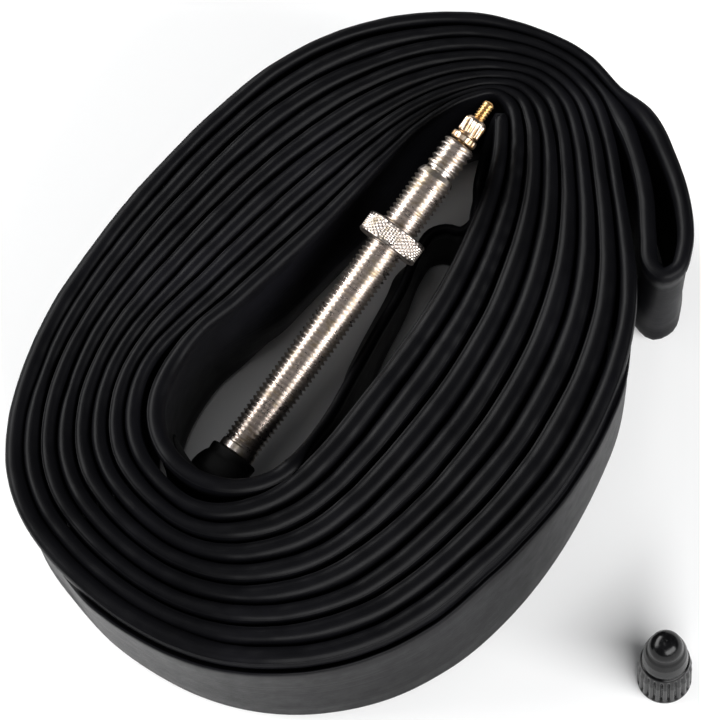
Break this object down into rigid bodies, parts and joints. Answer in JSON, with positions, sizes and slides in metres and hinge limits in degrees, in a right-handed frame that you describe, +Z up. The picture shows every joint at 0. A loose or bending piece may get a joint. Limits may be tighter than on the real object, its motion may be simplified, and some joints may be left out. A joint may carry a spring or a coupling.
{
  "type": "bicycle inner tube",
  "caption": "Flattened black butyl inner tube rolled into an oval bundle, with a long threaded slim valve, a knurled rim nut and a loose black dust cap.",
  "frame": {"origin": "middle of the underside of the whole set, roll and dust cap together, on the surface it rests on", "axes": "+X along the roll's long axis towards the valve's tip, +Y away from the dust cap, +Z up"},
  "size_m": [0.1148, 0.1098, 0.0301],
  "materials": {
    "butyl": "satin black butyl with fine mould lines and talc haze",
    "patch_rubber": "matt black moulded rubber",
    "nickel_plate": "bright nickel plate over brass",
    "worn_nickel": "nickel plate with brass showing at the knurl's edges",
    "brass": "plain turned brass",
    "seal_rubber": "matt black seal rubber",
    "black_plastic": "glossy black moulded plastic"
  },
  "bodies": {
    "tube_and_stem": {"tube": "butyl", "valve_patch": "patch_rubber", "valve_stem": "nickel_plate"},
    "rim_nut": {"rim_nut": "nickel_plate"},
    "core": {"core_body": "nickel_plate", "core_gasket": "seal_rubber"},
    "pin": {"valve_pin": "brass", "pin_seal": "seal_rubber"},
    "thumb_nut": {"thumb_nut": "worn_nickel"},
    "dust_cap": {"dust_cap": "black_plastic"}
  },
  "joints": [
    {"name": "rim_nut_travel", "type": "slide", "parent": "tube_and_stem", "child": "rim_nut", "axis": [0.9647, 0.0546, 0.2576], "range_m": [-0.034, 0.009]},
    {"name": "core_unscrew", "type": "slide", "parent": "tube_and_stem", "child": "core", "axis": [0.9647, 0.0546, 0.2576], "range_m": [0, 0.02]},
    {"name": "pin_press", "type": "slide", "parent": "core", "child": "pin", "axis": [0.9647, 0.0546, 0.2576], "range_m": [-0.0022, 0]},
    {"name": "thumb_nut_unscrew", "type": "slide", "parent": "pin", "child": "thumb_nut", "axis": [0.9647, 0.0546, 0.2576], "range_m": [0, 0.0025]},
    {"name": "dust_cap_lift", "type": "slide", "parent": "tube_and_stem", "child": "dust_cap", "axis": [0, 0, 1], "range_m": [0, 0.03]}
  ],
  "couplings": [
    {"joint": "pin_press", "follows": "thumb_nut_unscrew", "ratio": -0.88}
  ]
}
